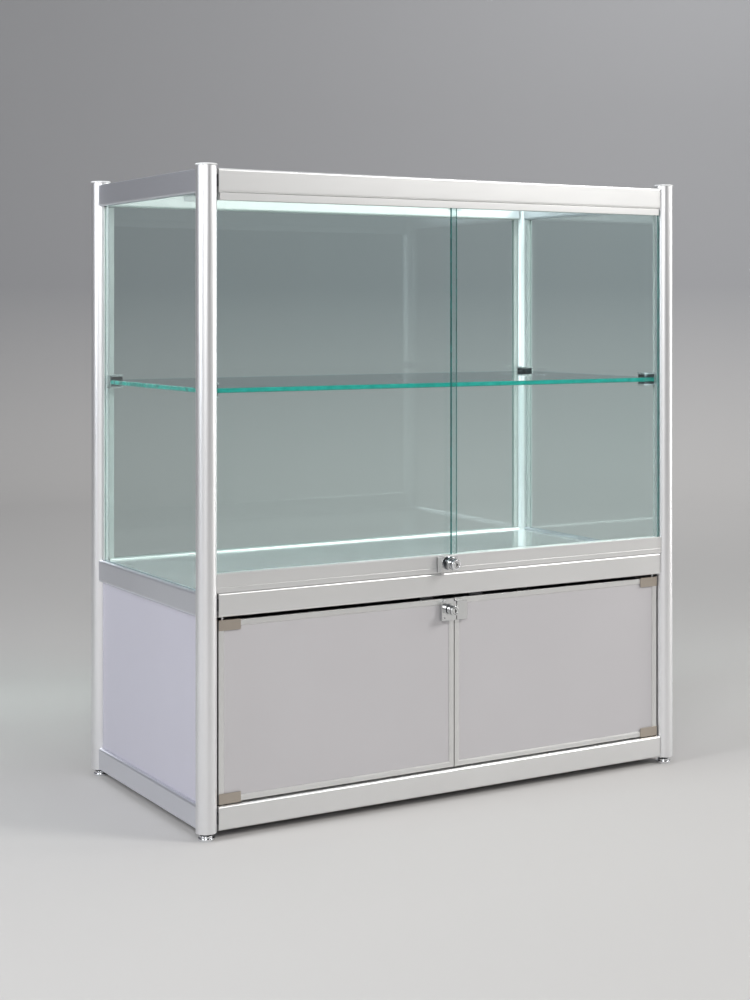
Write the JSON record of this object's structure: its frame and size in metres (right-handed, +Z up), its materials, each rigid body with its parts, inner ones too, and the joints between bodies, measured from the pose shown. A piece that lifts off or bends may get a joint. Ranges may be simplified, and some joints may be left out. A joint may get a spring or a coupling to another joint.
{
  "type": "glass display case",
  "caption": "Floor-standing glass display case: round aluminium posts, sliding glass doors and a shelf over a lockable cupboard with hinged doors, on levelling feet.",
  "frame": {"origin": "middle of the whole case outline, at floor level", "axes": "+Z up, +X to the right as seen from the front, front faces -Y"},
  "size_m": [1.002, 0.5264, 1.11],
  "materials": {
    "post_aluminium": "satin silver anodised",
    "rail_aluminium": "satin silver anodised",
    "trim_aluminium": "satin silver anodised",
    "cap_plastic": "smooth light grey",
    "dark_nylon": "matte",
    "white_nylon": "matte",
    "chrome": "polished",
    "zinc_casting": "as cast",
    "steel_bracket": "zinc plated",
    "white_channel": "white powder coat",
    "clear_glass": "clear, slightly green",
    "deck_laminate": "gloss light grey",
    "panel_laminate": "satin lavender grey",
    "door_laminate": "satin warm grey",
    "hinge_nickel": "brushed nickel"
  },
  "bodies": {
    "frame": {"post_front_left": "post_aluminium", "post_front_right": "post_aluminium", "post_back_left": "post_aluminium", "post_back_right": "post_aluminium", "post_caps": "cap_plastic", "foot_inserts": "dark_nylon", "top_rail_front": "rail_aluminium", "top_rail_back": "rail_aluminium", "top_rail_left": "rail_aluminium", "top_rail_right": "rail_aluminium", "middle_rail_front": "rail_aluminium", "middle_rail_back": "rail_aluminium", "middle_rail_left": "rail_aluminium", "middle_rail_right": "rail_aluminium", "bottom_rail_front": "rail_aluminium", "bottom_rail_back": "rail_aluminium", "bottom_rail_left": "rail_aluminium", "bottom_rail_right": "rail_aluminium", "rail_connectors": "zinc_casting", "top_track": "rail_aluminium", "lower_track": "rail_aluminium", "left_glass": "clear_glass", "right_glass": "clear_glass", "back_glass": "clear_glass", "top_glass": "clear_glass", "top_glass_rests": "steel_bracket", "glazing_channels": "white_channel", "glass_shelf": "clear_glass", "shelf_clips": "chrome", "deck_board": "deck_laminate", "base_board": "panel_laminate", "board_brackets": "steel_bracket", "left_panel": "panel_laminate", "right_panel": "panel_laminate", "back_panel": "panel_laminate", "pivot_bushes": "dark_nylon", "door_stops": "dark_nylon", "push_lock_bracket": "chrome"},
    "sliding_door_left": {"left_sliding_glass": "clear_glass", "left_glides": "white_nylon"},
    "sliding_door_right": {"right_sliding_glass": "clear_glass", "right_glides": "white_nylon"},
    "door_left": {"left_door_panel": "door_laminate", "left_door_trim": "trim_aluminium", "left_door_hinges": "hinge_nickel", "door_lock_body": "chrome", "door_lock_cover": "steel_bracket"},
    "door_right": {"right_door_panel": "door_laminate", "right_door_trim": "trim_aluminium", "right_door_hinges": "hinge_nickel", "door_lock_strike": "chrome"},
    "push_lock": {"push_lock_barrel": "chrome"},
    "push_lock_key_plug": {"push_lock_plug": "chrome"},
    "door_lock_key_plug": {"door_lock_plug": "chrome"},
    "door_lock_side_bolt": {"door_lock_bolt": "steel_bracket"},
    "foot_fl": {"foot_front_left": "chrome"},
    "foot_fr": {"foot_front_right": "chrome"},
    "foot_bl": {"foot_back_left": "chrome"},
    "foot_br": {"foot_back_right": "chrome"}
  },
  "joints": [
    {"name": "left_pane_slide", "type": "slide", "parent": "frame", "child": "sliding_door_left", "axis": [1, 0, 0], "range_m": [0, 0.45]},
    {"name": "right_pane_slide", "type": "slide", "parent": "frame", "child": "sliding_door_right", "axis": [1, 0, 0], "range_m": [-0.45, 0]},
    {"name": "left_door_swing", "type": "hinge", "parent": "frame", "child": "door_left", "pos_m": [-0.454, -0.22025, 0.207], "axis": [0, 0, -1], "range_deg": [0, 105]},
    {"name": "right_door_swing", "type": "hinge", "parent": "frame", "child": "door_right", "pos_m": [0.454, -0.22025, 0.207], "axis": [0, 0, 1], "range_deg": [0, 105]},
    {"name": "push_lock_press", "type": "slide", "parent": "frame", "child": "push_lock", "axis": [0, 1, 0], "range_m": [0, 0.014]},
    {"name": "push_lock_key_turn", "type": "hinge", "parent": "push_lock", "child": "push_lock_key_plug", "pos_m": [-0.02, -0.26325, 0.4217], "axis": [0, 1, 0], "range_deg": [0, 90]},
    {"name": "door_lock_key_turn", "type": "hinge", "parent": "door_left", "child": "door_lock_key_plug", "pos_m": [-0.01525, -0.24025, 0.33872], "axis": [0, 1, 0], "range_deg": [0, 90]},
    {"name": "door_lock_bolt_throw", "type": "slide", "parent": "door_left", "child": "door_lock_side_bolt", "axis": [1, 0, 0], "range_m": [0, 0.008]},
    {"name": "foot_fl_turn", "type": "hinge", "parent": "frame", "child": "foot_fl", "pos_m": [-0.4825, -0.22025, 0.01], "axis": [0, 0, 1], "continuous": true},
    {"name": "foot_fr_turn", "type": "hinge", "parent": "frame", "child": "foot_fr", "pos_m": [0.4825, -0.22025, 0.01], "axis": [0, 0, 1], "continuous": true},
    {"name": "foot_bl_turn", "type": "hinge", "parent": "frame", "child": "foot_bl", "pos_m": [-0.4825, 0.24475, 0.01], "axis": [0, 0, 1], "continuous": true},
    {"name": "foot_br_turn", "type": "hinge", "parent": "frame", "child": "foot_br", "pos_m": [0.4825, 0.24475, 0.01], "axis": [0, 0, 1], "continuous": true}
  ],
  "couplings": [
    {"joint": "door_lock_bolt_throw", "follows": "door_lock_key_turn", "m_per_rad": 0.005093}
  ]
}
